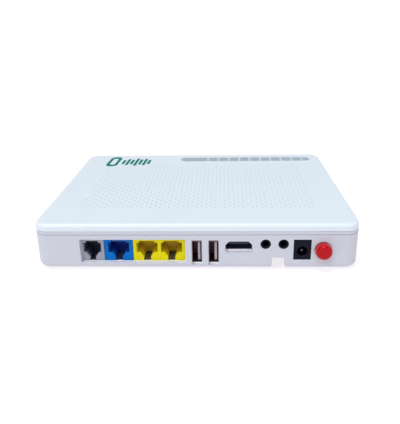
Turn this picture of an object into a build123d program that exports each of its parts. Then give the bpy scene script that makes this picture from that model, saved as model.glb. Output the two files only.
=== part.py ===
from build123d import *
import os

# Optical network terminal: a flat white desktop box, ports along its front
# wall, vents and a status lens in its cover.
# Model frame: +X along the row of ports, +Y away from the ports, +Z up,
# origin under the middle of the whole object, on the surface it stands on.
# All lengths in millimetres.

# ---- driving dimensions -------------------------------------------------
body_w = 184.0            # case width
body_d = 149.0            # case depth
body_h = 27.5             # case height, feet not counted
corner_r = 8.0            # plan corners of the case
bottom_r = 3.5            # rounding under the case
top_r = 2.0               # rounding round the cover's top
foot_proud = 1.0          # feet below the case
cap_proud = 5.4           # power button in front of the port face

front_t = 2.6             # port wall
panel_d = 3.5             # port wall with its foot
wall_t = 2.2              # other walls
floor_t = 2.2             # base floor
skin_t = 2.0              # cover's top skin
base_h = 22.95            # height of the base walls
cover_z = 23.08           # lower edge of the cover's skirt
lip_t = 1.2               # cover's inner lip
lip_gap = 0.2             # lip to base wall
lip_z = 21.3              # lower edge of the lip

board_z = 18.1            # underside of the circuit board
board_t = 1.6
seat = 2.7                # port connectors sit this far behind the port face

post_xy = [(-83, 10), (83, 10), (-83, 118), (83, 118)]
foot_xy = [(-70, 16), (70, 16), (-70, 133), (70, 133)]

# port positions: distance from the middle of the case, height above its underside
phone_x = -59.4
wan_x = -44.15
lan_x = [-27.8, -13.83]
usb_x = [0.78, 10.3]
hdmi_x = 24.5
audio_x = [39.5, 49.5]
audio_z = 15.35
fibre_x = 46.85
dc_x, dc_z = 60.05, 10.85
button_x, button_z = 71.65, 11.95
cap_r = 4.6
button_travel = 2.8

# vents: staggered rows of round holes in the cover
vent_r = 0.42
vent_px, vent_py = 5.61, 3.05
vent_rows, vent_cols = 31, 25
vent_y = 72.15            # middle of the field
vent_clear = 4.2          # plain spot in the middle of the field

# status lens
lens_x, lens_y = 33.3, 134.2
lens_w, lens_d, lens_t = 100.5, 10.2, 1.2
led_pitch, led_x0, led_count = 8.13, 4.4, 10

# ---- reference planes ---------------------------------------------------
y_port = -(body_d + cap_proud) / 2 + cap_proud
deck = Plane(origin=(0, y_port, foot_proud))                                       # local (x, depth)
panel = Plane(origin=(0, y_port, foot_proud), x_dir=(1, 0, 0), z_dir=(0, -1, 0))   # local (x, height)
side = Plane(origin=(0, y_port, foot_proud), x_dir=(0, 1, 0), z_dir=(1, 0, 0))     # local (depth, height)

os.makedirs("parts", exist_ok=True)
finished = []


def keep(builder, name):
    builder.part.label = name
    export_step(builder.part, "parts/" + name + ".step")
    finished.append(name)


def round_edge(builder, radius):
    """The foremost round edge of that radius."""
    rings = builder.edges().filter_by(GeomType.CIRCLE).filter_by(lambda e: abs(e.radius - radius) < 0.01)
    return rings.sort_by(Axis.Y)[0]


# ---- base housing -------------------------------------------------------
inner_y0, inner_y1 = front_t, body_d - wall_t
inner_w, inner_d = body_w - 2 * wall_t, body_d - wall_t - front_t
inner_c = (inner_y0 + inner_y1) / 2

bay_w, bay_y0, bay_y1, bay_h = 22.0, 16.0, 62.0, 12.6
notch_w, notch_h, flare_r = 7.1, 7.05, 2.8
channel_w = 12.1          # fibre channel behind the notch

hdmi_cut = [(-6.7, 10.3), (6.7, 10.3), (7.5, 11.1), (7.5, 14.95),
            (5.4, 17.05), (-5.4, 17.05), (-7.5, 14.95), (-7.5, 11.1)]

with BuildPart() as tray:
    with BuildSketch(deck):
        with Locations((0, body_d / 2)):
            RectangleRounded(body_w, body_d, corner_r)
    extrude(amount=base_h)
    fillet(tray.faces().sort_by(Axis.Z)[0].edges(), bottom_r)
    chamfer(tray.faces().sort_by(Axis.Z)[-1].edges(), 0.15)
    # tray
    with BuildSketch(deck.offset(floor_t)):
        with Locations((0, inner_c)):
            RectangleRounded(inner_w, inner_d, corner_r - wall_t)
    extrude(amount=base_h, mode=Mode.SUBTRACT)
    # shallow styling groove under the rim
    with BuildSketch(deck.offset(20.9)):
        with Locations((0, body_d / 2)):
            RectangleRounded(body_w + 4, body_d + 4, corner_r + 2)
            RectangleRounded(body_w - 0.7, body_d - 0.7, corner_r - 0.35, mode=Mode.SUBTRACT)
    extrude(amount=0.4, mode=Mode.SUBTRACT)
    # sills under the network jacks, the USB and the HDMI receptacles
    with BuildSketch(deck.offset(floor_t - 0.5)):
        with Locations((-35.75, panel_d - 0.55)):
            Rectangle(61.0, 1.1)
    extrude(amount=3.95 - floor_t + 0.5)
    with BuildSketch(deck.offset(floor_t - 0.5)):
        with Locations((sum(usb_x) / 2, panel_d - 0.55)):
            Rectangle(17.0, 1.1)
    extrude(amount=2.95 - floor_t + 0.5)
    with BuildSketch(deck.offset(8.5)):
        with Locations((hdmi_x, panel_d - 0.55)):
            Rectangle(14.6, 1.1)
    extrude(amount=11.2 - 8.5)
    # hollow screw posts that carry the board
    with BuildSketch(deck.offset(floor_t - 0.5)):
        with Locations(*post_xy):
            Circle(3.9)
    extrude(amount=board_z - 0.05 - floor_t + 0.5)
    # rests with locating pins
    with BuildSketch(deck.offset(floor_t - 0.5)):
        with Locations((-62, 128), (14, 128)):
            Circle(2.6)
    extrude(amount=board_z - 0.05 - floor_t + 0.5)
    with BuildSketch(deck.offset(board_z - 1)):
        with Locations((-62, 128), (14, 128)):
            Circle(1.2)
    extrude(amount=1 + board_t + 0.6)
    # stiffening ribs across the floor
    with BuildSketch(deck.offset(floor_t - 0.5)):
        with Locations((-28, 119.5)):
            Rectangle(96, 1.4)
        with Locations((-76.5, 76)):
            Rectangle(1.4, 96)
        with Locations((74.5, 84)):
            Rectangle(1.4, 84)
    extrude(amount=3.5)
    # well for the fibre guide
    with BuildSketch(deck.offset(-1)):
        with Locations((fibre_x, (panel_d - 0.1 + bay_y1 + 1.6) / 2)):
            Rectangle(bay_w + 3.2, bay_y1 + 1.6 - panel_d + 0.1)
    extrude(amount=1 + floor_t + 0.5, mode=Mode.SUBTRACT)
    # fibre notch in the port wall, its lower corners flared
    with BuildSketch(panel.offset(1)):
        with Locations((fibre_x, (notch_h - 1) / 2)):
            Rectangle(notch_w, notch_h + 1)
        with Locations((fibre_x, (flare_r - 1) / 2)):
            Rectangle(notch_w + 2 * flare_r, flare_r + 1)
        with Locations((fibre_x - notch_w / 2 - flare_r, flare_r), (fibre_x + notch_w / 2 + flare_r, flare_r)):
            Circle(flare_r, mode=Mode.SUBTRACT)
    extrude(amount=-(1 + panel_d), mode=Mode.SUBTRACT)
    # port cut-outs
    with BuildSketch(panel.offset(1)):
        with Locations((-35.75, 11.1)):
            RectangleRounded(60.1, 14.2, 0.4)
        for cx in usb_x:
            with Locations((cx, 10.1)):
                RectangleRounded(5.8, 15.2, 0.5)
        with BuildLine():
            Polyline(*[(hdmi_x + px, pz) for px, pz in hdmi_cut], close=True)
        make_face()
        for cx in audio_x:
            with Locations((cx, audio_z)):
                Circle(2.95)
        with Locations((dc_x, 12.0)):
            RectangleRounded(9.9, 12.35, 0.3)
        with Locations((button_x, button_z)):
            Circle(cap_r + 0.25)
    extrude(amount=-(1 + front_t), mode=Mode.SUBTRACT)
    # screw passages from below
    with BuildSketch(deck.offset(-1)):
        with Locations(*post_xy):
            Circle(3.0)
    extrude(amount=11, mode=Mode.SUBTRACT)
    with BuildSketch(deck.offset(-1)):
        with Locations(*post_xy):
            Circle(1.6)
    extrude(amount=board_z + 2, mode=Mode.SUBTRACT)
    # seats for the feet and for the rating label
    with BuildSketch(deck.offset(-1)):
        with Locations(*foot_xy):
            Circle(6.2)
    extrude(amount=1.8, mode=Mode.SUBTRACT)
    with BuildSketch(deck.offset(-1)):
        with Locations((-22, 98)):
            RectangleRounded(76.4, 40.4, 2.2)
    extrude(amount=1.25, mode=Mode.SUBTRACT)
    # air slots in the floor
    with BuildSketch(deck.offset(-1)):
        with Locations((-22, 50)):
            with GridLocations(6.4, 22, 13, 2):
                SlotOverall(17, 2.2, rotation=90)
    extrude(amount=floor_t + 2, mode=Mode.SUBTRACT)

# The housing is moulded without its port wall, which slides in between the
# front corners; the seams lie in the faces and hardly show.
panel_w = body_w - 2 * corner_r
with BuildPart() as port_panel:
    add(tray.part)
    with BuildSketch(deck.offset(-2)):
        with Locations((0, (panel_d - 1) / 2)):
            Rectangle(panel_w, panel_d + 1)
    extrude(amount=base_h + 4, mode=Mode.INTERSECT)
keep(port_panel, "port_panel")

with BuildPart() as base_housing:
    add(tray.part)
    with BuildSketch(deck.offset(-2)):
        with Locations((0, (panel_d - 1) / 2)):
            Rectangle(panel_w, panel_d + 1)
    extrude(amount=base_h + 4, mode=Mode.SUBTRACT)
keep(base_housing, "base_housing")

# ---- fibre guide: channel and bay, open downwards ------------------------
with BuildPart() as fibre_guide:
    with BuildSketch(deck):
        with Locations((fibre_x, (panel_d + bay_y0) / 2)):
            Rectangle(bay_w + 3.0, bay_y0 - panel_d)
    extrude(amount=floor_t)
    with BuildSketch(deck):
        with Locations((fibre_x, (panel_d + bay_y0) / 2)):
            Rectangle(channel_w + 2.4, bay_y0 - panel_d)
    extrude(amount=notch_h + 1.5)
    with BuildSketch(deck):
        with Locations((fibre_x, (bay_y0 + bay_y1) / 2)):
            Rectangle(bay_w + 3.0, bay_y1 - bay_y0 + 3.0)
    extrude(amount=bay_h + 1.5)
    # flanges that rest on the floor
    with BuildSketch(deck.offset(floor_t)):
        with Locations((fibre_x, (bay_y0 + bay_y1) / 2)):
            RectangleRounded(bay_w + 7.5, bay_y1 - bay_y0 - 4, 1.5)
    extrude(amount=1.2)
    with BuildSketch(deck.offset(-1)):
        with Locations((fibre_x, (bay_y0 + bay_y1) / 2)):
            RectangleRounded(bay_w, bay_y1 - bay_y0, 2.0)
    extrude(amount=1 + bay_h, mode=Mode.SUBTRACT)
    with BuildSketch(panel.offset(1)):
        with Locations((fibre_x, (notch_h - 1) / 2)):
            Rectangle(channel_w, notch_h + 1)
    extrude(amount=-(1 + bay_y0 + 1), mode=Mode.SUBTRACT)
    # window for the fibre receptacle
    with BuildSketch(panel.offset(-(bay_y1 - 1))):
        with Locations((fibre_x, 7.3)):
            Rectangle(13.4, 9.8)
    extrude(amount=-4, mode=Mode.SUBTRACT)
keep(fibre_guide, "fibre_guide")

# ---- top cover ----------------------------------------------------------
lip_w, lip_d = inner_w - 2 * lip_gap, inner_d - 2 * lip_gap
with BuildPart() as top_cover:
    with BuildSketch(deck.offset(cover_z)):
        with Locations((0, body_d / 2)):
            RectangleRounded(body_w, body_d, corner_r)
    extrude(amount=body_h - cover_z)
    fillet(top_cover.faces().sort_by(Axis.Z)[-1].edges(), top_r)
    chamfer(top_cover.faces().sort_by(Axis.Z)[0].edges(), 0.12)
    with BuildSketch(deck.offset(lip_z)):
        with Locations((0, inner_c)):
            RectangleRounded(lip_w, lip_d, corner_r - wall_t - lip_gap)
    extrude(amount=cover_z - lip_z + 0.5)
    with BuildSketch(deck.offset(lip_z - 1)):
        with Locations((0, inner_c)):
            RectangleRounded(lip_w - 2 * lip_t, lip_d - 2 * lip_t, corner_r - wall_t - lip_gap - lip_t)
    extrude(amount=body_h - skin_t - lip_z + 1, mode=Mode.SUBTRACT)
    # screw bosses
    with BuildSketch(deck.offset(board_z + board_t + 0.1)):
        with Locations(*post_xy):
            Circle(3.2)
    extrude(amount=body_h - skin_t + 0.5 - board_z - board_t - 0.1)
    with BuildSketch(deck.offset(board_z)):
        with Locations(*post_xy):
            Circle(1.3)
    extrude(amount=body_h - skin_t - board_z - 0.2, mode=Mode.SUBTRACT)
    # stiffening ribs under the skin, clear of the vents
    with BuildSketch(deck.offset(body_h - skin_t - 2.0)):
        with Locations((0, 14)):
            Rectangle(150, 1.2)
        with Locations((0, 124.5)):
            Rectangle(150, 1.2)
    extrude(amount=2.5)
    # seat and windows for the status lens
    with BuildSketch(deck.offset(body_h - lens_t)):
        with Locations((lens_x, lens_y)):
            RectangleRounded(lens_w + 0.2, lens_d + 0.2, (lens_d + 0.2) / 2 - 0.05)
    extrude(amount=lens_t + 1, mode=Mode.SUBTRACT)
    with BuildSketch(deck.offset(body_h - skin_t - 1)):
        with Locations(*[(led_x0 + led_pitch * i, lens_y) for i in range(led_count)]):
            Rectangle(4.6, 5.6)
    extrude(amount=skin_t + 1, mode=Mode.SUBTRACT)
    # vents
    vent_pts = []
    for row in range(vent_rows):
        shift = -vent_px / 2 if row % 2 else 0
        for col in range(vent_cols + (row % 2)):
            vx = (col - (vent_cols - 1) / 2) * vent_px + shift
            vy = (row - (vent_rows - 1) / 2) * vent_py
            if vx * vx + vy * vy > vent_clear ** 2:
                vent_pts.append((vx, vent_y + vy))
    with BuildSketch(deck.offset(body_h - skin_t - 1)):
        with Locations(*vent_pts):
            Circle(vent_r)
    extrude(amount=skin_t + 2, mode=Mode.SUBTRACT)
keep(top_cover, "top_cover")

# ---- status lens, light guide, lamps ------------------------------------
with BuildPart() as led_lens:
    with BuildSketch(deck.offset(body_h - lens_t + 0.05)):
        with Locations((lens_x, lens_y)):
            RectangleRounded(lens_w, lens_d, lens_d / 2 - 0.05)
    extrude(amount=lens_t - 0.1)
    fillet(led_lens.faces().sort_by(Axis.Z)[-1].edges(), 0.25)
keep(led_lens, "led_lens")

with BuildPart() as light_guide:
    with BuildSketch(deck.offset(22.2)):
        with Locations((led_x0 + led_pitch * (led_count - 1) / 2, lens_y)):
            Rectangle(led_pitch * (led_count - 1) + 6, 3.0)
    extrude(amount=1.6)
    with BuildSketch(deck.offset(20.9)):
        with Locations(*[(led_x0 + led_pitch * i, lens_y) for i in range(led_count)]):
            RectangleRounded(3.6, 4.6, 0.6)
    extrude(amount=body_h - lens_t - 20.9)
keep(light_guide, "light_guide")

with BuildPart() as status_leds:
    with BuildSketch(deck.offset(board_z + board_t)):
        with Locations(*[(led_x0 + led_pitch * i, lens_y) for i in range(led_count)]):
            RectangleRounded(1.6, 2.0, 0.2)
    extrude(amount=0.8)
keep(status_leds, "status_leds")

# ---- feet, screws, label ------------------------------------------------
with BuildPart() as rubber_feet:
    with BuildSketch(deck.offset(-foot_proud)):
        with Locations(*foot_xy):
            Circle(6.0)
    extrude(amount=foot_proud + 0.8)
    chamfer(rubber_feet.faces().group_by(Axis.Z)[0].edges(), 0.4)
keep(rubber_feet, "rubber_feet")

with BuildPart() as case_screws:
    with BuildSketch(deck.offset(8.3)):
        with Locations(*post_xy):
            Circle(2.7)
    extrude(amount=1.7)
    fillet(case_screws.faces().group_by(Axis.Z)[0].edges(), 0.6)
    with BuildSketch(deck.offset(10)):
        with Locations(*post_xy):
            Circle(1.25)
    extrude(amount=14.0)
    with BuildSketch(deck.offset(7.3)):
        with Locations(*post_xy):
            Rectangle(2.9, 0.7)
            Rectangle(0.7, 2.9)
    extrude(amount=2.0, mode=Mode.SUBTRACT)
keep(case_screws, "case_screws")

with BuildPart() as rating_label:
    with BuildSketch(deck.offset(0.1)):
        with Locations((-22, 98)):
            RectangleRounded(76, 40, 2)
    extrude(amount=0.15)
keep(rating_label, "rating_label")

# ---- circuit board ------------------------------------------------------
with BuildPart() as main_board:
    with BuildSketch(deck.offset(board_z)):
        with Locations((0, 73.4)):
            RectangleRounded(174.6, 138.8, 3)
        with Locations(*post_xy):
            Circle(2.1, mode=Mode.SUBTRACT)
        with Locations((-62, 128), (14, 128)):
            Circle(1.35, mode=Mode.SUBTRACT)
    extrude(amount=board_t)
keep(main_board, "main_board")

# ---- network and telephone jacks ---------------------------------------
# The jacks hang under the board, latch side down. Opening, from the top:
# comb for the contacts, main opening, shoulders for the latch, finger slot.
jack_z0 = 4.1
jack_d = 16.2


def opening(cx, comb_w, main_w, step_w):
    """Outline of a modular jack's opening, centred on cx, as (x, height) points."""
    half = [(comb_w / 2, 16.3), (comb_w / 2, 15.2), (main_w / 2, 15.2), (main_w / 2, 9.2),
            (step_w / 2 + 0.6, 9.2), (step_w / 2 - 0.75, 7.3), (step_w / 2 - 0.95, 6.85)]
    right = [(cx + hx, hz) for hx, hz in half]
    left = [(cx - hx, hz) for hx, hz in reversed(half)]
    return right + left


with BuildPart() as rj11_jack:
    with BuildSketch(panel.offset(-seat)):
        with Locations((phone_x, (jack_z0 + board_z) / 2)):
            Rectangle(13.6, board_z - jack_z0)
    extrude(amount=-jack_d)
    with BuildSketch(panel.offset(-seat)):
        with BuildLine():
            Polyline(*opening(phone_x, 7.1, 10.1, 6.3), close=True)
        make_face()
    extrude(amount=-13, mode=Mode.SUBTRACT)
    with BuildSketch(panel.offset(-seat)):
        with Locations((phone_x, 5.5)):
            Rectangle(3.5, 2.9)
    extrude(amount=-12.5, mode=Mode.SUBTRACT)
keep(rj11_jack, "rj11_jack")

with BuildPart() as rj45_wan_jack:
    with BuildSketch(panel.offset(-seat)):
        with Locations((wan_x, (jack_z0 + board_z) / 2)):
            Rectangle(16.4, board_z - jack_z0)
    extrude(amount=-jack_d)
    with BuildSketch(panel.offset(-seat)):
        with BuildLine():
            Polyline(*opening(wan_x, 8.8, 12.1, 6.6), close=True)
        make_face()
    extrude(amount=-13, mode=Mode.SUBTRACT)
    with BuildSketch(panel.offset(-seat)):
        with Locations((wan_x, 5.5)):
            Rectangle(4.2, 2.9)
    extrude(amount=-12.5, mode=Mode.SUBTRACT)
keep(rj45_wan_jack, "rj45_wan_jack")

with BuildPart() as rj45_lan_jack:
    with BuildSketch(panel.offset(-seat)):
        with Locations((sum(lan_x) / 2, (jack_z0 + board_z) / 2)):
            Rectangle(29.8, board_z - jack_z0)
    extrude(amount=-jack_d)
    for cx in lan_x:
        with BuildSketch(panel.offset(-seat)):
            with BuildLine():
                Polyline(*opening(cx, 8.8, 12.1, 6.6), close=True)
            make_face()
        extrude(amount=-13, mode=Mode.SUBTRACT)
        with BuildSketch(panel.offset(-seat)):
            with Locations((cx, 5.5)):
                Rectangle(4.2, 2.9)
        extrude(amount=-12.5, mode=Mode.SUBTRACT)
keep(rj45_lan_jack, "rj45_lan_jack")

# spring wires: back along the comb, folded over at the front, slanting inwards
wire_path = [(15.6, 16.12), (4.3, 16.12), (4.3, 15.5), (13.4, 14.6)]
wire_t = 0.3

with BuildPart() as rj11_contacts:
    for i in range(4):
        with BuildSketch(side.offset(phone_x + (i - 1.5) * 1.02 - 0.22)):
            with BuildLine():
                FilletPolyline(*wire_path, radius=0.25)
            trace(line_width=wire_t)
        extrude(amount=0.44)
keep(rj11_contacts, "rj11_contacts")

with BuildPart() as rj45_wan_contacts:
    for i in range(8):
        with BuildSketch(side.offset(wan_x + (i - 3.5) * 1.02 - 0.22)):
            with BuildLine():
                FilletPolyline(*wire_path, radius=0.25)
            trace(line_width=wire_t)
        extrude(amount=0.44)
keep(rj45_wan_contacts, "rj45_wan_contacts")

with BuildPart() as rj45_lan_contacts:
    for cx in lan_x:
        for i in range(8):
            with BuildSketch(side.offset(cx + (i - 3.5) * 1.02 - 0.22)):
                with BuildLine():
                    FilletPolyline(*wire_path, radius=0.25)
                trace(line_width=wire_t)
            extrude(amount=0.44)
keep(rj45_lan_contacts, "rj45_lan_contacts")

# ---- USB receptacles, standing on their narrow side ---------------------
usb_z0, usb_len = 3.0, 13.14
usb_depth = 14.3
usb_zc = usb_z0 + usb_len / 2
for n, cx in enumerate(usb_x, start=1):
    with BuildPart() as usb_shell:
        with BuildSketch(panel.offset(-seat)):
            with Locations((cx, usb_zc)):
                RectangleRounded(5.7, usb_len, 0.7)
                RectangleRounded(5.1, usb_len - 0.6, 0.45, mode=Mode.SUBTRACT)
        extrude(amount=-usb_depth)
        # mounting tabs up to the board
        with BuildSketch(deck.offset(usb_z0 + usb_len - 0.2)):
            with Locations((cx - 2.0, seat + 4), (cx + 2.0, seat + 4), (cx - 2.0, seat + 12), (cx + 2.0, seat + 12)):
                Rectangle(0.3, 2.2)
        extrude(amount=board_z - 0.02 - usb_z0 - usb_len + 0.2)
        # pressed windows of the grip springs, in both broad sides
        with BuildSketch(side.offset(cx - 4)):
            with Locations((seat + 5.2, usb_zc - 3.1), (seat + 5.2, usb_zc + 3.1)):
                Rectangle(6.0, 0.35)
            with Locations((seat + 8.3, usb_zc - 2.2), (seat + 8.3, usb_zc + 2.2)):
                Rectangle(0.35, 2.1)
        extrude(amount=8, mode=Mode.SUBTRACT)
    keep(usb_shell, "usb_shell_" + str(n))

    with BuildPart() as usb_tongue:
        with BuildSketch(panel.offset(-(seat + 1.3))):
            with Locations((cx + 1.2, usb_zc)):
                RectangleRounded(1.3, 11.1, 0.25)
        extrude(amount=-9.5)
        with BuildSketch(panel.offset(-(seat + 10.6))):
            with Locations((cx, usb_zc)):
                RectangleRounded(5.0, usb_len - 0.75, 0.5)
        extrude(amount=-3.6)
    keep(usb_tongue, "usb_tongue_" + str(n))

    with BuildPart() as usb_contacts:
        with BuildSketch(panel.offset(-(seat + 2.2))):
            with Locations(*[(cx + 0.48, usb_zc + off) for off in (-3.5, -1.0, 1.0, 3.5)]):
                Rectangle(0.14, 1.05)
        extrude(amount=-8.3)
    keep(usb_contacts, "usb_contacts_" + str(n))

# ---- HDMI receptacle, wide side down -----------------------------------
hdmi_in = [(-6.3, 12.1), (6.3, 12.1), (7.0, 12.8), (7.0, 14.8),
           (5.15, 16.65), (-5.15, 16.65), (-7.0, 14.8), (-7.0, 12.8)]
with BuildPart() as hdmi_shell:
    with BuildSketch(panel.offset(-seat)):
        with BuildLine():
            Polyline(*[(hdmi_x + px, pz) for px, pz in hdmi_in], close=True)
        make_face()
        offset(amount=0.35, kind=Kind.INTERSECTION)
        with BuildLine():
            Polyline(*[(hdmi_x + px, pz) for px, pz in hdmi_in], close=True)
        make_face(mode=Mode.SUBTRACT)
    extrude(amount=-11.2)
    with BuildSketch(panel.offset(-(seat + 10.8))):
        with BuildLine():
            Polyline(*[(hdmi_x + px, pz) for px, pz in hdmi_in], close=True)
        make_face()
    extrude(amount=-0.4)
    with BuildSketch(deck.offset(16.75)):
        with Locations((hdmi_x - 4.6, seat + 3), (hdmi_x + 4.6, seat + 3), (hdmi_x - 4.6, seat + 9), (hdmi_x + 4.6, seat + 9)):
            Rectangle(0.4, 1.8)
    extrude(amount=board_z - 0.02 - 16.75)
keep(hdmi_shell, "hdmi_shell")

with BuildPart() as hdmi_tongue:
    with BuildSketch(panel.offset(-(seat + 1.6))):
        with Locations((hdmi_x, 14.15)):
            RectangleRounded(11.4, 1.2, 0.15)
    extrude(amount=-9)
    with BuildSketch(panel.offset(-(seat + 8.8))):
        with Locations((hdmi_x, 14.15)):
            Rectangle(11.0, 3.4)
    extrude(amount=-1.9)
keep(hdmi_tongue, "hdmi_tongue")

with BuildPart() as hdmi_contacts:
    with BuildSketch(panel.offset(-(seat + 2.0))):
        with Locations(*[(hdmi_x + (i - 4.5), 14.81) for i in range(10)]):
            Rectangle(0.42, 0.1)
        with Locations(*[(hdmi_x + (i - 4.0), 13.49) for i in range(9)]):
            Rectangle(0.42, 0.1)
    extrude(amount=-6.7)
keep(hdmi_contacts, "hdmi_contacts")

# ---- round audio jacks --------------------------------------------------
for n, cx in enumerate(audio_x, start=1):
    with BuildPart() as audio_jack:
        with BuildSketch(panel.offset(-seat)):
            with Locations((cx, (12.9 + board_z) / 2)):
                RectangleRounded(7.0, board_z - 12.9, 0.3)
        extrude(amount=-11.6)
        with BuildSketch(panel.offset(-0.15)):
            with Locations((cx, audio_z)):
                Circle(2.8)
        extrude(amount=-(seat + 0.5))
        fillet(round_edge(audio_jack, 2.8), 0.3)
        with BuildSketch(panel.offset(1)):
            with Locations((cx, audio_z)):
                Circle(1.8)
        extrude(amount=-(1 + 12.4), mode=Mode.SUBTRACT)
        chamfer(round_edge(audio_jack, 1.8), 0.25)
    keep(audio_jack, "audio_jack_" + str(n))

# ---- DC power jack ------------------------------------------------------
with BuildPart() as dc_jack_body:
    with BuildSketch(panel.offset(-0.12)):
        with Locations((dc_x, 12.0)):
            RectangleRounded(9.7, 12.15, 0.2)
    extrude(amount=-14.3)
    with BuildSketch(panel.offset(1)):
        with Locations((dc_x, dc_z)):
            Circle(2.9)
    extrude(amount=-(1 + 9.8), mode=Mode.SUBTRACT)
    chamfer(round_edge(dc_jack_body, 2.9), 0.3)
    # slot for the side spring
    with BuildSketch(panel.offset(-2.0)):
        with Locations((dc_x, dc_z - 2.95)):
            Rectangle(2.8, 1.6)
    extrude(amount=-7.8, mode=Mode.SUBTRACT)
    # hole that holds the pin
    with BuildSketch(panel.offset(-9.0)):
        with Locations((dc_x, dc_z)):
            Circle(1.0)
    extrude(amount=-7, mode=Mode.SUBTRACT)
keep(dc_jack_body, "dc_jack_body")

with BuildPart() as dc_centre_pin:
    with BuildSketch(panel.offset(-1.7)):
        with Locations((dc_x, dc_z)):
            Circle(1.0)
    extrude(amount=-12.5)
    fillet(round_edge(dc_centre_pin, 1.0), 0.8)
keep(dc_centre_pin, "dc_centre_pin")

with BuildPart() as dc_side_spring:
    with BuildSketch(side.offset(dc_x - 1.2)):
        with BuildLine():
            FilletPolyline((2.6, dc_z - 3.4), (5.6, dc_z - 2.65), (9.5, dc_z - 3.4), radius=1.0)
        trace(line_width=0.25)
    extrude(amount=2.4)
keep(dc_side_spring, "dc_side_spring")

# ---- power switch and its button ---------------------------------------
sw_y0, sw_y1 = 9.2, 22.2
with BuildPart() as switch_body:
    with BuildSketch(panel.offset(-sw_y0)):
        with Locations((button_x, (7.9 + board_z) / 2)):
            RectangleRounded(8.8, board_z - 7.9, 0.4)
    extrude(amount=-(sw_y1 - sw_y0))
    with BuildSketch(panel.offset(-(sw_y0 - 1))):
        with Locations((button_x, button_z)):
            Rectangle(3.7, 3.7)
    extrude(amount=-4, mode=Mode.SUBTRACT)
    with BuildSketch(panel.offset(-(sw_y0 + 1.4))):
        with Locations((button_x, button_z)):
            Rectangle(5.8, 5.8)
    extrude(amount=-10.4, mode=Mode.SUBTRACT)
keep(switch_body, "switch_body")

with BuildPart() as switch_plunger:
    with BuildSketch(panel.offset(1.4)):
        with Locations((button_x, button_z)):
            Rectangle(3.0, 3.0)
    extrude(amount=-(1.4 + 12.0))
    with BuildSketch(panel.offset(-11.2)):
        with Locations((button_x, button_z)):
            Rectangle(5.0, 5.0)
    extrude(amount=-1.4)
    with BuildSketch(panel.offset(-12.4)):
        with Locations((button_x, button_z)):
            Circle(0.7)
    extrude(amount=-4.9)
keep(switch_plunger, "switch_plunger")

with BuildPart() as button_cap:
    with BuildSketch(panel.offset(cap_proud)):
        with Locations((button_x, button_z)):
            Circle(cap_r)
    extrude(amount=-(cap_proud + 5.6))
    fillet(round_edge(button_cap, cap_r), 2.4)
    # hollow back with a square socket for the plunger
    with BuildSketch(panel.offset(3.0)):
        with Locations((button_x, button_z)):
            Circle(3.6)
            Rectangle(4.6, 4.6, mode=Mode.SUBTRACT)
    extrude(amount=-9, mode=Mode.SUBTRACT)
    with BuildSketch(panel.offset(1.5)):
        with Locations((button_x, button_z)):
            Rectangle(3.04, 3.04)
    extrude(amount=-8, mode=Mode.SUBTRACT)
keep(button_cap, "button_cap")

with BuildPart() as return_spring:
    with BuildLine():
        coil = Helix(pitch=1.45, height=7.25, radius=1.6, direction=(0, 1, 0),
                     center=(button_x, y_port + 12.95, foot_proud + button_z))
    with BuildSketch(Plane(origin=coil @ 0, z_dir=coil % 0)):
        Circle(0.2)
    sweep(path=coil, is_frenet=True)
keep(return_spring, "return_spring")

# ---- fibre receptacle and optical module -------------------------------
fib_z = 7.3
with BuildPart() as fibre_receptacle:
    with BuildSketch(panel.offset(-60)):
        with Locations((fibre_x, fib_z)):
            RectangleRounded(13.0, 9.4, 0.6)
    extrude(amount=-22)
    # flange behind the bay wall
    with BuildSketch(panel.offset(-63.8)):
        with Locations((fibre_x, fib_z)):
            RectangleRounded(17.5, 9.4, 0.6)
    extrude(amount=-1.6)
    with BuildSketch(panel.offset(-60)):
        with Locations((fibre_x, fib_z)):
            RectangleRounded(9.2, 7.6, 0.3)
        with Locations((fibre_x, fib_z + 3.9)):
            Rectangle(2.3, 1.0)
    extrude(amount=-14, mode=Mode.SUBTRACT)
    with BuildSketch(panel.offset(-73)):
        with Locations((fibre_x, fib_z)):
            Circle(2.0)
    extrude(amount=-6, mode=Mode.SUBTRACT)
keep(fibre_receptacle, "fibre_receptacle")

with BuildPart() as ferrule_sleeve:
    with BuildSketch(panel.offset(-66.2)):
        with Locations((fibre_x, fib_z)):
            Circle(1.95)
            Circle(1.26, mode=Mode.SUBTRACT)
    extrude(amount=-12.2)
keep(ferrule_sleeve, "ferrule_sleeve")

with BuildPart() as optical_module:
    with BuildSketch(panel.offset(-82.1)):
        with Locations((fibre_x, fib_z)):
            Circle(3.4)
    extrude(amount=-3)
    with BuildSketch(panel.offset(-85)):
        with Locations((fibre_x, (3.2 + board_z) / 2)):
            RectangleRounded(14, board_z - 0.05 - 3.2, 0.8)
    extrude(amount=-22)
    with BuildSketch(panel.offset(-107)):
        with Locations((fibre_x - 3.5, 9), (fibre_x + 3.5, 9)):
            Circle(2.2)
    extrude(amount=-1.4)
keep(optical_module, "optical_module")

# ---- components on the board -------------------------------------------
top_z = board_z + board_t
with BuildPart() as processor_chip:
    with BuildSketch(deck.offset(top_z)):
        with Locations((0, vent_y)):
            RectangleRounded(19, 19, 0.5)
    extrude(amount=1.3)
keep(processor_chip, "processor_chip")

with BuildPart() as thermal_pad:
    with BuildSketch(deck.offset(top_z + 1.3)):
        with Locations((0, vent_y)):
            Rectangle(18, 18)
    extrude(amount=0.5)
keep(thermal_pad, "thermal_pad")

with BuildPart() as heatsink:
    with BuildSketch(deck.offset(top_z + 1.8)):
        with Locations((0, vent_y)):
            Rectangle(38, 38)
    extrude(amount=1.2)
    with BuildSketch(deck.offset(top_z + 2.9)):
        with Locations((0, vent_y)):
            with GridLocations(3.6, 1, 11, 1):
                Rectangle(1.1, 38)
    extrude(amount=2.3)
keep(heatsink, "heatsink")

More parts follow.
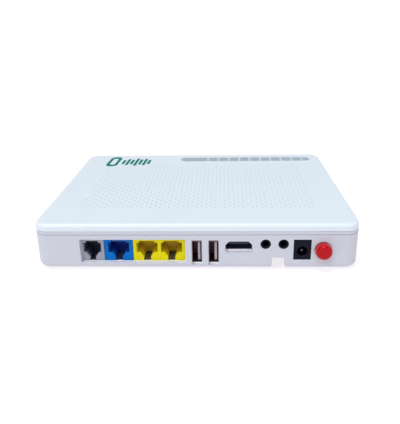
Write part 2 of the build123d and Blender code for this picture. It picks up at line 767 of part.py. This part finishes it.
with BuildPart() as memory_chips:
    with BuildSketch(deck.offset(top_z)):
        with Locations((32, vent_y - 8.5), (32, vent_y + 8.5)):
            RectangleRounded(9, 13.5, 0.3)
    extrude(amount=1.1)
keep(memory_chips, "memory_chips")

with BuildPart() as flash_chip:
    with BuildSketch(deck.offset(top_z)):
        with Locations((-33, vent_y)):
            RectangleRounded(12, 18, 0.3)
    extrude(amount=1.1)
keep(flash_chip, "flash_chip")

with BuildPart() as phone_line_chip:
    with BuildSketch(deck.offset(top_z)):
        with Locations((-59, 34)):
            RectangleRounded(9, 9, 0.3)
    extrude(amount=1.0)
keep(phone_line_chip, "phone_line_chip")

with BuildPart() as crystals:
    with BuildSketch(deck.offset(top_z)):
        with Locations((-20, 52), (16, 52)):
            RectangleRounded(5.0, 3.2, 0.5)
    extrude(amount=1.2)
keep(crystals, "crystals")

with BuildPart() as ceramic_capacitors:
    with BuildSketch(deck.offset(top_z)):
        with Locations((0, 50)):
            with GridLocations(3.2, 2.6, 5, 2):
                Rectangle(1.6, 0.8)
        with Locations((0, 97)):
            with GridLocations(3.2, 2.6, 6, 2):
                Rectangle(1.6, 0.8)
        with Locations((-56, 52), (-46, 52), (50, 52), (60, 52), (-56, 97), (54, 97)):
            Rectangle(2.0, 1.25)
    extrude(amount=0.8)
keep(ceramic_capacitors, "ceramic_capacitors")

with BuildPart() as network_transformers:
    with BuildSketch(deck.offset(board_z - 6.2)):
        with Locations((wan_x, 29), (lan_x[0], 29), (lan_x[1], 29)):
            RectangleRounded(12.6, 15, 0.5)
    extrude(amount=6.15)
keep(network_transformers, "network_transformers")

with BuildPart() as electrolytic_capacitors:
    with BuildSketch(deck.offset(board_z - 11.5)):
        with Locations((67, 33), (67, 44), (78, 40)):
            Circle(4.0)
    extrude(amount=11.45)
    fillet(electrolytic_capacitors.faces().group_by(Axis.Z)[0].edges(), 0.5)
keep(electrolytic_capacitors, "electrolytic_capacitors")

with BuildPart() as power_inductors:
    with BuildSketch(deck.offset(board_z - 5.0)):
        with Locations((68, 60), (68, 75), (18, 36)):
            RectangleRounded(10, 10, 1.6)
    extrude(amount=4.95)
keep(power_inductors, "power_inductors")

print(len(finished), "pieces written; vents:", len(vent_pts))
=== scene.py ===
import bpy
import bmesh
import math
from mathutils import Vector, Matrix
from mathutils.geometry import delaunay_2d_cdt


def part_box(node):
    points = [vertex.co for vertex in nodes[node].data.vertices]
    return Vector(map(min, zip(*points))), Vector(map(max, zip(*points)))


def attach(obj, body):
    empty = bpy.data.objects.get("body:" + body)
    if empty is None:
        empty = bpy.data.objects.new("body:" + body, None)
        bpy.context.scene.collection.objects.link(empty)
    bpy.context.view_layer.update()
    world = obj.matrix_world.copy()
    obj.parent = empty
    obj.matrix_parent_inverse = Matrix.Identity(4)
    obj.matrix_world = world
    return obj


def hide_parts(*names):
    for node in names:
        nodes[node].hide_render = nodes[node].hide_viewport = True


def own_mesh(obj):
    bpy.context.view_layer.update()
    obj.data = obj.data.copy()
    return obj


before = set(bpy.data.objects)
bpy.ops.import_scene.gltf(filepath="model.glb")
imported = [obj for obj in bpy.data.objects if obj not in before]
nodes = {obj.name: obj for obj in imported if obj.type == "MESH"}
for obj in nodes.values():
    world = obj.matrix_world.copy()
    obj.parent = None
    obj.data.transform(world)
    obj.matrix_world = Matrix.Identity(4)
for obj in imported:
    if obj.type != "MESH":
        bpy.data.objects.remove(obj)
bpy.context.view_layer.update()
scene = bpy.context.scene
MM = 0.001

# frame of the port wall: x across, depth behind the port face, height above the case's underside
b_lo, b_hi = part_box("base_housing")
c_lo, c_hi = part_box("top_cover")
Y0 = b_lo.y * 1000
Z0 = b_lo.z * 1000


def P(x, d, h):
    return Vector((x * MM, (Y0 + d) * MM, (Z0 + h) * MM))


# ---------------------------------------------------------------- materials
def srgb(r, g, b):
    def f(c):
        c = c / 255
        return c / 12.92 if c <= 0.04045 else ((c + 0.055) / 1.055) ** 2.4
    return (f(r), f(g), f(b), 1.0)


def shade(c, k):
    return (c[0] * k, c[1] * k, c[2] * k, 1.0)


def material(name, base, rough=0.4, vary=0.05, vary_scale=120.0, grain=2500.0, grain_depth=0.00001,
             rough_vary=0.08, metallic=0.0, coat=0.0, coat_rough=0.1, spec=0.5, stretch=(1, 1, 1),
             tint=None, subsurface=0.0, sss_radius=(1, 1, 1), transmission=0.0, ior=1.46, wave=None, wave_depth=0.0,
             painted_depth_tone=None, painted_depth_tone_above=None):
    """Moulded, plated or cast surface: slow colour drift, fine grain in the bump, uneven roughness."""
    m = bpy.data.materials.new(name)
    m.use_nodes = True
    nt = m.node_tree
    n, l = nt.nodes, nt.links
    bs = n["Principled BSDF"]
    bs.inputs["Metallic"].default_value = metallic
    bs.inputs["Specular IOR Level"].default_value = spec
    bs.inputs["Coat Weight"].default_value = coat
    bs.inputs["Coat Roughness"].default_value = coat_rough
    bs.inputs["IOR"].default_value = ior
    bs.inputs["Transmission Weight"].default_value = transmission
    if subsurface:
        bs.inputs["Subsurface Weight"].default_value = subsurface
        bs.inputs["Subsurface Radius"].default_value = sss_radius
        bs.inputs["Subsurface Scale"].default_value = 0.002
    tc = n.new("ShaderNodeTexCoord")
    mp = n.new("ShaderNodeMapping")
    mp.inputs["Scale"].default_value = stretch
    l.new(tc.outputs["Object"], mp.inputs["Vector"])
    drift = n.new("ShaderNodeTexNoise")
    drift.inputs["Scale"].default_value = vary_scale
    drift.inputs["Detail"].default_value = 3.0
    l.new(mp.outputs["Vector"], drift.inputs["Vector"])
    ramp = n.new("ShaderNodeValToRGB")
    ramp.color_ramp.elements[0].position = 0.3
    ramp.color_ramp.elements[1].position = 0.7
    ramp.color_ramp.elements[0].color = shade(tint or base, 1.0 - vary)
    ramp.color_ramp.elements[1].color = shade(base, 1.0 + vary * 0.4)
    l.new(drift.outputs["Fac"], ramp.inputs["Fac"])
    col = ramp.outputs["Color"]
    if painted_depth_tone:
        # painted light and shade: past a given depth behind the port face, and above a given height where asked, the
        # colour turns to a set inner tone that stands in for how light and shade fall inside sockets and openings
        d0, d1, inner = painted_depth_tone
        sep = n.new("ShaderNodeSeparateXYZ")
        l.new(tc.outputs["Object"], sep.inputs["Vector"])
        mr = n.new("ShaderNodeMapRange")
        mr.inputs["From Min"].default_value = (Y0 + d0) * MM
        mr.inputs["From Max"].default_value = (Y0 + d1) * MM
        l.new(sep.outputs["Y"], mr.inputs["Value"])
        mx = n.new("ShaderNodeMix")
        mx.data_type = "RGBA"
        share = mr.outputs["Result"]
        if painted_depth_tone_above:
            up = n.new("ShaderNodeMapRange")
            up.inputs["From Min"].default_value = painted_depth_tone_above[0] * MM
            up.inputs["From Max"].default_value = painted_depth_tone_above[1] * MM
            l.new(sep.outputs["Z"], up.inputs["Value"])
            both = n.new("ShaderNodeMath")
            both.operation = "MULTIPLY"
            l.new(share, both.inputs[0])
            l.new(up.outputs["Result"], both.inputs[1])
            share = both.outputs["Value"]
        l.new(share, mx.inputs["Factor"])
        l.new(col, mx.inputs["A"])
        mx.inputs["B"].default_value = inner
        col = mx.outputs["Result"]
    l.new(col, bs.inputs["Base Color"])
    fine = n.new("ShaderNodeTexNoise")
    fine.inputs["Scale"].default_value = grain
    fine.inputs["Detail"].default_value = 4.0
    fine.inputs["Roughness"].default_value = 0.6
    l.new(mp.outputs["Vector"], fine.inputs["Vector"])
    rr = n.new("ShaderNodeMapRange")
    rr.inputs["To Min"].default_value = max(0.02, rough - rough_vary)
    rr.inputs["To Max"].default_value = min(1.0, rough + rough_vary)
    l.new(fine.outputs["Fac"], rr.inputs["Value"])
    l.new(rr.outputs["Result"], bs.inputs["Roughness"])
    bump = n.new("ShaderNodeBump")
    bump.inputs["Strength"].default_value = 1.0
    bump.inputs["Distance"].default_value = grain_depth
    l.new(fine.outputs["Fac"], bump.inputs["Height"])
    last = bump
    if wave:
        w = n.new("ShaderNodeTexWave")
        w.bands_direction = wave[0]
        w.inputs["Scale"].default_value = wave[1]
        w.inputs["Distortion"].default_value = 0.6
        w.inputs["Detail"].default_value = 2.0
        l.new(tc.outputs["Object"], w.inputs["Vector"])
        b2 = n.new("ShaderNodeBump")
        b2.inputs["Strength"].default_value = 1.0
        b2.inputs["Distance"].default_value = wave_depth
        l.new(w.outputs["Fac"], b2.inputs["Height"])
        l.new(bump.outputs["Normal"], b2.inputs["Normal"])
        last = b2
    l.new(last.outputs["Normal"], bs.inputs["Normal"])
    return m


white = material("case_white_abs", srgb(214, 225, 234), rough=0.42, vary=0.012, vary_scale=18, grain=2600,
                 grain_depth=0.000012, rough_vary=0.07, spec=0.45)
# the base and the port wall take a greyer, bluer white than the cover: partly a different moulding tone, partly painted
# shade that darkens the front faces
white_base = material("case_white_base_abs", srgb(195, 200, 211), rough=0.42, vary=0.012, vary_scale=18, grain=2600,
                      grain_depth=0.000012, rough_vary=0.07, spec=0.35)
# painted light: faces from about 2 mm behind the port face and above about 2.8 mm, such as the sills inside the
# openings, are painted near white as if lit from above
white_panel = material("case_white_panel_abs", srgb(195, 200, 211), rough=0.42, vary=0.012, vary_scale=18, grain=2600,
                       grain_depth=0.000012, rough_vary=0.07, spec=0.35, painted_depth_tone=(1.5, 2.0, srgb(248, 250, 255)),
                       painted_depth_tone_above=(2.2, 2.8))
# painted shade: from 3.2 to 6 mm behind the port face the RJ11 socket's inside turns a dark slate grey
grey_jack = material("jack_grey_pbt", srgb(156, 160, 172), rough=0.45, vary=0.05, vary_scale=160, grain=3200, grain_depth=0.00001,
                     spec=0.2, painted_depth_tone=(3.2, 6.0, srgb(78, 82, 112)))
# painted shade: from 3.2 to 7 mm behind the port face the WAN socket's inside turns a duller, darker blue
blue_jack = material("jack_blue_pbt", srgb(0, 108, 194), rough=0.42, vary=0.05, vary_scale=160, grain=3200, grain_depth=0.00001,
                     spec=0.1, painted_depth_tone=(3.2, 7.0, srgb(44, 84, 190)))
# painted light and shade: from 3.4 to 8 mm behind the port face the LAN socket's inside turns a warmer yellow kept
# nearly as bright as its face
yellow_jack = material("jack_yellow_pbt", srgb(224, 215, 14), rough=0.42, vary=0.05, vary_scale=160, grain=3200, grain_depth=0.00001,
                       spec=0.12, painted_depth_tone=(3.4, 8.0, srgb(228, 204, 66)))
black = material("black_moulded", srgb(16, 17, 32), rough=0.42, vary=0.08, vary_scale=200, grain=3500, grain_depth=0.000012, spec=0.12)
# painted light: from 2.9 to 4 mm behind the port face the HDMI shell's inside is painted lighter than its front edges
shell_dark = material("shell_black_nickel", srgb(24, 23, 36), rough=0.4, vary=0.08, vary_scale=300, grain=900, grain_depth=0.000004,
                      metallic=0.2, spec=0.1, painted_depth_tone=(2.9, 4.0, srgb(66, 64, 98)))
dark_grey = material("switch_grey", srgb(72, 74, 78), rough=0.5, vary=0.06, vary_scale=200, grain=3000)
# painted shade: within the last millimetre in front of the port wall, where the cap enters its hole, the red turns
# maroon
red = material("button_red_gloss", srgb(176, 5, 20), rough=0.2, vary=0.05, vary_scale=220, grain=1800, grain_depth=0.000002,
               rough_vary=0.04, spec=0.12, coat=0.12, coat_rough=0.06, painted_depth_tone=(-1.0, -0.1, srgb(104, 10, 26)))
red_bs = red.node_tree.nodes["Principled BSDF"]
red_bs.inputs["Sheen Weight"].default_value = 0.35
red_bs.inputs["Sheen Roughness"].default_value = 0.35
red_bs.inputs["Sheen Tint"].default_value = (1.0, 0.72, 0.74, 1.0)
gold = material("contact_gold", srgb(222, 176, 96), rough=0.25, vary=0.08, vary_scale=500, grain=6000, grain_depth=0.000004, metallic=1.0)
# painted shade: from 2.8 to 3.4 mm behind the port face the USB shell's inside turns a dark mauve
steel = material("nickel_shell", srgb(132, 118, 126), rough=0.38, vary=0.08, vary_scale=300, grain=900, grain_depth=0.000004,
                 metallic=0.6, spec=0.2, stretch=(1, 0.15, 1), painted_depth_tone=(2.8, 3.4, srgb(104, 68, 80)))
pin_metal = material("plated_pin", srgb(92, 92, 104), rough=0.5, vary=0.05, vary_scale=600, grain=5000, grain_depth=0.000002, metallic=1.0)
# painted shade: from 6 to 11 mm behind the port face the USB tongue turns a dark mauve
tongue = material("usb_tongue_white", srgb(190, 189, 198), rough=0.4, vary=0.03, vary_scale=300, grain=3500, spec=0.3,
                  painted_depth_tone=(6.0, 11.0, srgb(120, 78, 92)))
switch_white = material("switch_plunger_white", srgb(226, 226, 222), rough=0.4, vary=0.03, vary_scale=300, grain=3500)
# painted light: the HDMI tongue takes a lighter, bluish black than the other black mouldings, standing in for light
# inside the socket
hdmi_black = material("hdmi_insulator", srgb(68, 68, 102), rough=0.5, vary=0.06, vary_scale=300, grain=3500, spec=0.2)
lens = material("lens_grey", srgb(154, 170, 183), rough=0.25, vary=0.04, vary_scale=60, grain=1500, grain_depth=0.000002, coat=0.25)


def window_stripes(m, x0, pitch, count, half, color):
    """Ten slim lighter windows across the tinted lens, one over each lamp."""
    nt = m.node_tree
    n, l = nt.nodes, nt.links
    bs = n["Principled BSDF"]
    old = bs.inputs["Base Color"].links[0].from_socket
    tc = n.new("ShaderNodeTexCoord")
    sep = n.new("ShaderNodeSeparateXYZ")
    l.new(tc.outputs["Object"], sep.inputs["Vector"])

    def math_node(op, a, b=None, c=None):
        k = n.new("ShaderNodeMath")
        k.operation = op
        for i, v in enumerate((a, b, c)):
            if v is None:
                continue
            if isinstance(v, (int, float)):
                k.inputs[i].default_value = v
            else:
                l.new(v, k.inputs[i])
        return k.outputs[0]

    u = math_node("DIVIDE", math_node("SUBTRACT", sep.outputs["X"], (x0 - pitch / 2) * MM), pitch * MM)
    cell = math_node("ABSOLUTE", math_node("SUBTRACT", math_node("FRACT", u), 0.5))
    inside = math_node("MULTIPLY", math_node("GREATER_THAN", u, 0.0), math_node("LESS_THAN", u, float(count)))
    soft = n.new("ShaderNodeMapRange")
    soft.inputs["From Min"].default_value = (half + 0.25) / pitch
    soft.inputs["From Max"].default_value = (half - 0.25) / pitch
    l.new(cell, soft.inputs["Value"])
    fac = math_node("MULTIPLY", inside, soft.outputs["Result"])
    mx = n.new("ShaderNodeMix")
    mx.data_type = "RGBA"
    l.new(fac, mx.inputs["Factor"])
    l.new(old, mx.inputs["A"])
    mx.inputs["B"].default_value = color
    l.new(mx.outputs["Result"], bs.inputs["Base Color"])


window_stripes(lens, 4.4, 8.13, 10, 0.8, srgb(192, 206, 217))
guide = material("light_guide_clear", srgb(226, 234, 238), rough=0.2, vary=0.03, vary_scale=200, grain=1500, grain_depth=0.000003,
                 transmission=0.5)
lamp = material("led_lamp", srgb(240, 238, 220), rough=0.3, vary=0.05, vary_scale=900, grain=4000)
rubber = material("foot_rubber", srgb(88, 90, 94), rough=0.85, vary=0.12, vary_scale=350, grain=1600, grain_depth=0.00004, rough_vary=0.1)
zinc = material("zinc_screw", srgb(178, 180, 184), rough=0.35, vary=0.12, vary_scale=700, grain=3000, grain_depth=0.00001, metallic=1.0)
paper = material("label_film", srgb(224, 226, 224), rough=0.55, vary=0.03, vary_scale=250, grain=5000, grain_depth=0.000006)
board = material("solder_mask", srgb(26, 92, 58), rough=0.35, vary=0.2, vary_scale=160, grain=1200, grain_depth=0.00002, coat=0.3)
spring_m = material("spring_wire", srgb(170, 170, 172), rough=0.3, vary=0.08, vary_scale=900, grain=4000, metallic=1.0)
fibre_green = material("fibre_green", srgb(34, 140, 84), rough=0.4, vary=0.05, vary_scale=200, grain=3200)
ceramic = material("zirconia", srgb(236, 236, 230), rough=0.2, vary=0.03, vary_scale=600, grain=4000, coat=0.4)
can = material("module_metal", srgb(176, 176, 172), rough=0.42, vary=0.1, vary_scale=250, grain=1500, metallic=1.0, stretch=(1, 0.2, 1))
sink = material("heatsink_anodised", srgb(120, 124, 130), rough=0.45, vary=0.1, vary_scale=200, grain=1200, metallic=1.0, stretch=(1, 0.1, 1))
chip = material("chip_epoxy", srgb(38, 38, 40), rough=0.6, vary=0.15, vary_scale=500, grain=4500, grain_depth=0.00002)
pad = material("thermal_pad", srgb(140, 150, 170), rough=0.8, vary=0.1, vary_scale=500, grain=2500, grain_depth=0.00003)
cap_can = material("capacitor_can", srgb(180, 182, 186), rough=0.35, vary=0.08, vary_scale=400, grain=2000, metallic=1.0)
ferrite = material("ferrite", srgb(66, 66, 70), rough=0.7, vary=0.2, vary_scale=600, grain=4000, grain_depth=0.00003)
tan = material("ceramic_tan", srgb(176, 148, 112), rough=0.5, vary=0.1, vary_scale=900, grain=5000)

look = {
    "base_housing": white_base, "port_panel": white_panel, "fibre_guide": white_base, "top_cover": white, "led_lens": lens, "light_guide": guide, "status_leds": lamp,
    "rubber_feet": rubber, "case_screws": zinc, "rating_label": paper, "main_board": board,
    "rj11_jack": grey_jack, "rj45_wan_jack": blue_jack, "rj45_lan_jack": yellow_jack,
    "rj11_contacts": gold, "rj45_wan_contacts": gold, "rj45_lan_contacts": gold,
    "usb_shell_1": steel, "usb_shell_2": steel, "usb_tongue_1": tongue, "usb_tongue_2": tongue,
    "usb_contacts_1": gold, "usb_contacts_2": gold,
    "hdmi_shell": shell_dark, "hdmi_tongue": hdmi_black, "hdmi_contacts": gold,
    "audio_jack_1": black, "audio_jack_2": black, "dc_jack_body": black, "dc_centre_pin": pin_metal, "dc_side_spring": spring_m,
    "switch_body": dark_grey, "switch_plunger": switch_white, "button_cap": red, "return_spring": spring_m,
    "fibre_receptacle": fibre_green, "ferrule_sleeve": ceramic, "optical_module": can,
    "processor_chip": chip, "thermal_pad": pad, "heatsink": sink, "memory_chips": chip, "flash_chip": chip,
    "phone_line_chip": chip, "crystals": cap_can, "ceramic_capacitors": tan, "network_transformers": chip,
    "electrolytic_capacitors": cap_can, "power_inductors": ferrite,
}
for name, obj in nodes.items():
    obj.data.materials.clear()
    obj.data.materials.append(look[name])

# ---------------------------------------------------------------- return spring
# The real spring shortens as the button goes in; here it is a fixed copy of the spring, attached to the terminal body.
coil = bpy.data.objects.new("return_spring_coil", nodes["return_spring"].data.copy())
scene.collection.objects.link(coil)
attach(coil, "terminal")
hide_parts("return_spring")
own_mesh(coil)

# ---------------------------------------------------------------- printed mark on the cover
# A plain pad-printed mark: one ring-shaped capsule and a row of slanted bars.
teal = material("pad_print_teal", srgb(0, 122, 110), rough=0.6, vary=0.06, vary_scale=400, grain=5000, grain_depth=0.000004, spec=0.12)


def slab(name, outlines, z_low, z_high, mat, body):
    """Flat printed or inset shapes: closed outlines in plan, given a small real thickness."""
    bm = bmesh.new()
    for outer, inner in outlines:
        if inner is None:
            top = [bm.verts.new((x, y, z_high)) for x, y in outer]
            low = [bm.verts.new((x, y, z_low)) for x, y in outer]
            bm.faces.new(top)
            bm.faces.new(list(reversed(low)))
            for i in range(len(top)):
                j = (i + 1) % len(top)
                bm.faces.new((low[i], low[j], top[j], top[i]))
        else:
            k = len(outer)
            rings = [[bm.verts.new((x, y, z)) for x, y in pts] for pts, z in
                     ((outer, z_high), (inner, z_high), (inner, z_low), (outer, z_low))]
            for r in range(4):
                a, b = rings[r], rings[(r + 1) % 4]
                for i in range(k):
                    j = (i + 1) % k
                    bm.faces.new((a[i], a[j], b[j], b[i]))
    bmesh.ops.recalc_face_normals(bm, faces=bm.faces)
    me = bpy.data.meshes.new(name)
    bm.to_mesh(me)
    bm.free()
    ob = bpy.data.objects.new(name, me)
    scene.collection.objects.link(ob)
    ob.data.materials.append(mat)
    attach(ob, body)
    return ob


def capsule(cx, cd, half_w, half_d, slant=0.0, n=14):
    """Outline of an upright capsule in plan, metres, slanted to the right with depth."""
    pts = []
    core = half_d - half_w
    for k in range(n + 1):
        t = math.pi * k / n
        pts.append((half_w * math.cos(t), core + half_w * math.sin(t)))
    for k in range(n + 1):
        t = math.pi + math.pi * k / n
        pts.append((half_w * math.cos(t), -core + half_w * math.sin(t)))
    return [((cx + px + slant * pd) * MM, (Y0 + cd + pd) * MM) for px, pd in pts]


top_z = c_hi.z
mark = [(capsule(-69.3, 129.5, 4.4, 13.0, 0.05), capsule(-69.3, 129.5, 2.0, 8.4, 0.05))]
for i, half_len in enumerate((5.6, 8.6, 6.4, 10.2, 7.4, 9.0, 5.8)):
    mark.append((capsule(-61.4 + 3.3 * i, 128.0, 1.1, half_len, 0.05), None))
slab("printed_mark", mark, top_z - 0.02 * MM, top_z + 0.03 * MM, teal, "terminal")

# ---------------------------------------------------------------- camera
cam_data = bpy.data.cameras.new("camera")
cam = bpy.data.objects.new("camera", cam_data)
scene.collection.objects.link(cam)
cam_data.sensor_fit = "AUTO"
cam_data.sensor_width = 36.0
cam_data.lens = 530.4 * 36.0 / 424.0
cam_data.clip_start = 0.02
cam_data.clip_end = 20.0
yaw, pitch, roll = -0.0434287701, 0.368277235, -0.0184716621
fwd = Vector((math.sin(yaw) * math.cos(pitch), math.cos(yaw) * math.cos(pitch), -math.sin(pitch)))
right = Vector((math.cos(yaw), -math.sin(yaw), 0.0))
up = right.cross(fwd)
r2 = math.cos(roll) * right + math.sin(roll) * up
u2 = -math.sin(roll) * right + math.cos(roll) * up
rot = Matrix((r2, u2, -fwd)).transposed()
cam.matrix_world = Matrix.Translation(P(14.816, -271.461, 139.698)) @ rot.to_4x4()
scene.camera = cam

# ---------------------------------------------------------------- floor and light
floor_mat = material("floor_pale", (0.33, 0.32, 0.325, 1.0), rough=0.8, vary=0.004, vary_scale=3, grain=200,
                     grain_depth=0.00002, spec=0.05)
floor_bs = floor_mat.node_tree.nodes["Principled BSDF"]
floor_bs.inputs["Emission Color"].default_value = (1.0, 0.96, 0.98, 1.0)   # a luminous white table
floor_bs.inputs["Emission Strength"].default_value = 0.74
# seen from below the floor is clear, so that the object's underside shows
f_nt = floor_mat.node_tree
f_geo = f_nt.nodes.new("ShaderNodeNewGeometry")
f_clear = f_nt.nodes.new("ShaderNodeBsdfTransparent")
f_mix = f_nt.nodes.new("ShaderNodeMixShader")
f_nt.links.new(f_geo.outputs["Backfacing"], f_mix.inputs["Fac"])
f_nt.links.new(floor_bs.outputs["BSDF"], f_mix.inputs[1])
f_nt.links.new(f_clear.outputs["BSDF"], f_mix.inputs[2])
f_nt.links.new(f_mix.outputs["Shader"], f_nt.nodes["Material Output"].inputs["Surface"])
fm = bmesh.new()
ring = []
for i in range(64):
    t = 2 * math.pi * i / 64
    ring.append(fm.verts.new((30 * math.cos(t), 30 * math.sin(t), 0.0)))
fm.faces.new(ring)
me = bpy.data.meshes.new("floor")
fm.to_mesh(me)
fm.free()
floor = bpy.data.objects.new("floor", me)
scene.collection.objects.link(floor)
floor.data.materials.append(floor_mat)

# an even studio dome, brightest at the horizon so that the pale floor runs out into white
world = bpy.data.worlds.new("studio")
scene.world = world
world.use_nodes = True
wn, wl = world.node_tree.nodes, world.node_tree.links
bg = wn["Background"]
w_tc = wn.new("ShaderNodeTexCoord")
w_sep = wn.new("ShaderNodeSeparateXYZ")
w_ramp = wn.new("ShaderNodeValToRGB")
wl.new(w_tc.outputs["Generated"], w_sep.inputs["Vector"])
wl.new(w_sep.outputs["Z"], w_ramp.inputs["Fac"])
w_ramp.color_ramp.elements[0].position = 0.04
w_ramp.color_ramp.elements[0].color = (1.0, 1.0, 1.0, 1.0)
w_ramp.color_ramp.elements[1].position = 0.34
w_ramp.color_ramp.elements[1].color = (0.27, 0.265, 0.27, 1.0)
wl.new(w_ramp.outputs["Color"], bg.inputs["Color"])
bg.inputs["Strength"].default_value = 1.05

sun_data = bpy.data.lights.new("overhead", "SUN")
sun_data.energy = 2.45
sun_data.angle = math.radians(30)
sun_data.color = (0.96, 1.0, 1.0)
sun = bpy.data.objects.new("overhead", sun_data)
scene.collection.objects.link(sun)
sun.rotation_euler = (math.radians(12), math.radians(-10), 0)


def area(name, pos, target, size, power, color=(1, 1, 1)):
    d = bpy.data.lights.new(name, "AREA")
    d.shape = "RECTANGLE"
    d.size, d.size_y = size
    d.energy = power
    d.color = color
    o = bpy.data.objects.new(name, d)
    scene.collection.objects.link(o)
    o.location = pos
    o.rotation_mode = "QUATERNION"
    o.rotation_quaternion = (Vector(target) - Vector(pos)).to_track_quat("-Z", "Y")
    return o


area("left_soft", (-0.45, -0.75, 0.60), (0.0, -0.07, 0.01), (0.13, 0.13), 1.5, (1.0, 0.88, 0.94))
area("right_soft", (0.86, -0.56, 0.55), (0.05, -0.07, 0.01), (0.13, 0.13), 1.0, (1.0, 0.88, 0.94))

scene.view_settings.view_transform = "Standard"
scene.view_settings.look = "None"
scene.view_settings.exposure = 0.0
scene.view_settings.gamma = 1.0
